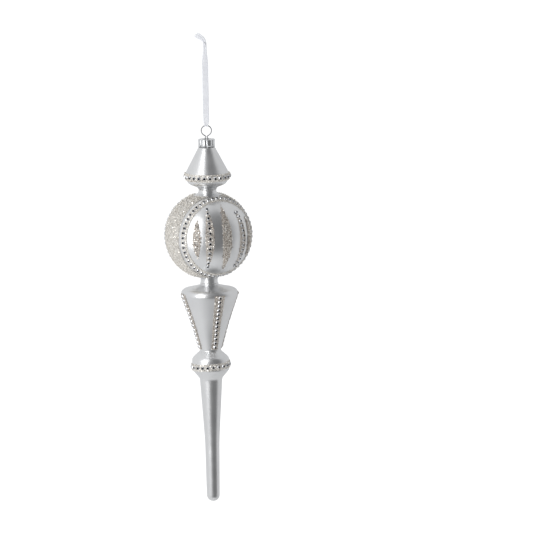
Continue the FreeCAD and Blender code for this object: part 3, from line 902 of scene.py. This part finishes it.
def organza():
    finish = Finish("organza", Roughness=0.55, Sheen_Weight=0.3, Sheen_Roughness=0.4,
                    Base_Color=(0.82, 0.83, 0.87, 1))
    place = finish.node("UVMap")
    place.uv_map = "UVMap"
    threads = []
    for axis, repeats in (("X", 46), ("Y", 640)):
        wave = finish.node("TexWave", Scale=repeats / 20 * math.pi, Distortion=0.3, Detail=1.0)
        wave.bands_direction = axis
        finish.join(place.outputs[0], wave.inputs["Vector"])
        threads.append(wave.outputs["Fac"])
    cover = finish.node("Math")
    cover.operation = "MAXIMUM"
    for thread, socket in zip(threads, cover.inputs):
        finish.join(thread, socket)
    finish.into(finish.spread(cover.outputs[0], 0.72, 0.86), "Alpha")
    finish.into(finish.bump(cover.outputs[0], 0.00004, 0.6), "Normal")
    finish.into(finish.ramp(finish.noise(120), (0.3, (0.80, 0.81, 0.85)), (0.7, (0.85, 0.86, 0.89))),
                "Base Color")
    return finish.material


ribbon_cloth = organza()
print("ribbon cloth", ribbon_cloth.name)

# %% Lay a band along a curve
ribbon_width = 5.8 * MM
gathered_width = 3.8 * MM
knot_width = 3.4 * MM
tail_width = 4.0 * MM
ribbon_cloth_thickness = 0.14 * MM
steps_across = 10
steps_along = 180


def smooth_route(points):
    """Points read evenly from a NURBS line through a route of chosen points."""
    curve = bpy.data.curves.new("route", "CURVE")
    curve.dimensions = "3D"
    spline = curve.splines.new("NURBS")
    spline.points.add(len(points) - 1)
    for point, place in zip(spline.points, points):
        point.co = (*place, 1)
    spline.order_u = 3
    spline.use_endpoint_u = True
    spline.resolution_u = 40
    holder = bpy.data.objects.new("route", curve)
    line = bpy.data.meshes.new_from_object(holder)
    places = np.array([vertex.co for vertex in line.vertices])
    bpy.data.objects.remove(holder)
    bpy.data.curves.remove(curve)
    bpy.data.meshes.remove(line)
    lengths = np.concatenate([[0], np.cumsum(np.linalg.norm(np.diff(places, axis=0), axis=1))])
    even = np.linspace(0, lengths[-1], steps_along)
    return np.stack([np.interp(even, lengths, places[:, axis]) for axis in range(3)], axis=1), lengths[-1]


def laid_band(route, width_at, pleat_at, end_slant):
    """A grid bent along the route, flat to the front; width and pleats follow the distance."""
    shape = bmesh.new()
    bmesh.ops.create_grid(shape, x_segments=steps_across, y_segments=len(route) - 1, size=0.5,
                          calc_uvs=True)
    shape.loops.layers.uv.verify()
    tangents = np.gradient(route, axis=0)
    tangents /= np.linalg.norm(tangents, axis=1)[:, None]
    last = len(route) - 1
    for vertex in shape.verts:
        across = vertex.co.x
        number = round((vertex.co.y + 0.5) * last)
        tangent = Vector(tangents[number])
        side = Vector((0, 1, 0)).cross(tangent).normalized()
        front = tangent.cross(side)
        place = Vector(route[number]) + side * (across * width_at(number / last))
        place += front * (pleat_at(number / last) * math.cos(across * 4 * math.pi))
        if number == last:
            place += tangent * (end_slant * across)
        vertex.co = place
    return shape


print("a band is", steps_across, "faces wide")

# %% [markdown]
# The legs hang straight under the weight, one behind the other, from the gathered fold on the wire
# to the knot. Above it the tails lean over to the left. Widths are told by places along the band:
# gathered at the ring, full for most of the leg, drawn in at the knot, and spreading in the tail.

# %% Two legs with their tails
ring_top = -76.7 * MM
knot_bottom = 0.8 * MM
knot_top = 4.0 * MM
band_length = 93 * MM
ring_pleat = 0.12 * MM
knot_pleat = 0.2 * MM


def eased(value, start, end):
    share = min(max((value - start) / (end - start), 0), 1)
    return share * share * (3 - 2 * share)


def width_along(share):
    at = share * band_length
    opened = (ribbon_width - gathered_width) * eased(at, 0, 5 * MM)
    drawn_in = (ribbon_width - knot_width) * eased(at, 60 * MM, 77 * MM)
    spread = (tail_width - knot_width) * eased(at, 81 * MM, 87 * MM)
    return gathered_width + opened - drawn_in + spread


def pleats_along(share):
    at = share * band_length
    near_ring = 1 - eased(at, 0, 9 * MM)
    near_knot = eased(at, 66 * MM, 77 * MM) * (1 - 0.7 * eased(at, 81 * MM, 90 * MM))
    return ring_pleat * near_ring + knot_pleat * near_knot


legs = {
    "front": [(0, -1.12, -76.7), (0, -1.0, -64), (0, -0.75, -39), (0, -0.5, -14), (0, -0.35, 0.8),
              (0, -0.35, 4.0), (-1.6, -0.45, 8.4), (-8.0, -0.35, 12.5)],
    "back": [(0, 1.12, -76.7), (0, 1.0, -64), (0, 0.75, -39), (0, 0.5, -14), (0, 0.35, 0.8),
             (0, 0.35, 4.0), (-1.9, 0.45, 7.6), (-8.4, 0.35, 10.7)],
}
bands = {}
for name, points in legs.items():
    route, measured = smooth_route([Vector(point) * MM for point in points])
    shape = laid_band(route, width_along, pleats_along, -0.35 * ribbon_width)
    band = finish_piece("ribbon_" + name, shape, [ribbon_cloth], None,
                        ["ribbon_%s_%s" % (part, name) for part in ("upper", "lower", "tail")])
    cloth = band.modifiers.new("cloth", "SOLIDIFY")
    cloth.thickness = ribbon_cloth_thickness
    cloth.offset = 0
    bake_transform(band)
    bands[name] = (band, route, measured)
    print(name, "band is", round(measured / MM, 1), "mm long")

# %% [markdown]
# Under the wire the band turns back on itself in a half circle, drawn together by the load. The
# knot is two tight turns of the same band around the gathered legs, lying askew to each other.

# %% The fold on the wire and the knot
fold_radius = 1.12 * MM
fold_pleat = 0.1 * MM
knot_core = (1.25 * MM, 1.1 * MM, 1.6 * MM)
knot_turn_section = (0.28 * MM, 0.85 * MM, 1)
knot_turn_radius = 1.28 * MM


def folded_band():
    shape = bmesh.new()
    bmesh.ops.create_grid(shape, x_segments=steps_across, y_segments=24, size=0.5, calc_uvs=True)
    for vertex in shape.verts:
        across = vertex.co.x
        turn = (vertex.co.y + 0.5) * math.pi
        radius = fold_radius + fold_pleat * math.cos(across * 4 * math.pi)
        vertex.co = (across * gathered_width, -radius * math.cos(turn), ring_top - radius * math.sin(turn))
    return shape


def knotted_band():
    """Two rings of flattened band around a core of gathered cloth."""
    middle = Vector((0, 0, (knot_bottom + knot_top) / 2))
    shape = bmesh.new()
    bmesh.ops.create_uvsphere(shape, u_segments=24, v_segments=16, radius=1)
    bmesh.ops.scale(shape, verts=shape.verts, vec=knot_core)
    for tilt, lean in ((24, 0.35), (-30, -0.3)):
        section = bmesh.ops.create_circle(shape, segments=14, radius=1)["verts"]
        bmesh.ops.scale(shape, verts=section, vec=knot_turn_section)
        bmesh.ops.rotate(shape, verts=section, cent=(0, 0, 0), matrix=Matrix.Rotation(math.pi / 2, 3, "X"))
        bmesh.ops.translate(shape, verts=section, vec=(knot_turn_radius, 0, 0))
        ring = section + [edge for vertex in section for edge in vertex.link_edges]
        old = set(shape.verts) - set(section)
        bmesh.ops.spin(shape, geom=list(dict.fromkeys(ring)), cent=(0, 0, 0), axis=(0, 0, 1),
                       angle=2 * math.pi, steps=32, use_merge=True)
        turned = [vertex for vertex in shape.verts if vertex not in old]
        bmesh.ops.rotate(shape, verts=turned, cent=(0, 0, 0),
                         matrix=Matrix.Rotation(math.radians(tilt), 3, "Y"))
        bmesh.ops.translate(shape, verts=turned, vec=(0, 0, lean * MM))
    bmesh.ops.translate(shape, verts=shape.verts, vec=middle)
    bmesh.ops.recalc_face_normals(shape, faces=shape.faces)
    return shape


fold = finish_piece("ribbon_fold", folded_band(), [ribbon_cloth], "ribbon_foot",
                    ["ribbon_wrap"])
fold_cloth = fold.modifiers.new("cloth", "SOLIDIFY")
fold_cloth.thickness = ribbon_cloth_thickness
fold_cloth.offset = 0
knot = finish_piece("knot", knotted_band(), [ribbon_cloth], "ribbon_top", ["ribbon_knot"])
for name, extras in (("front", [fold, knot]), ("back", [])):
    band, route, measured = bands[name]
    tuple(route[0])
    [tuple(place) for place in route]
    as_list(extras)

# %% [markdown]
# Last, the box of everything is read again and printed, like the design's own box at the start, so
# the two can be compared.

# %% Sizes and finish
visual_box = [list(corner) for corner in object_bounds()]
print("visual box", [[round(value, 4) for value in corner] for corner in visual_box])
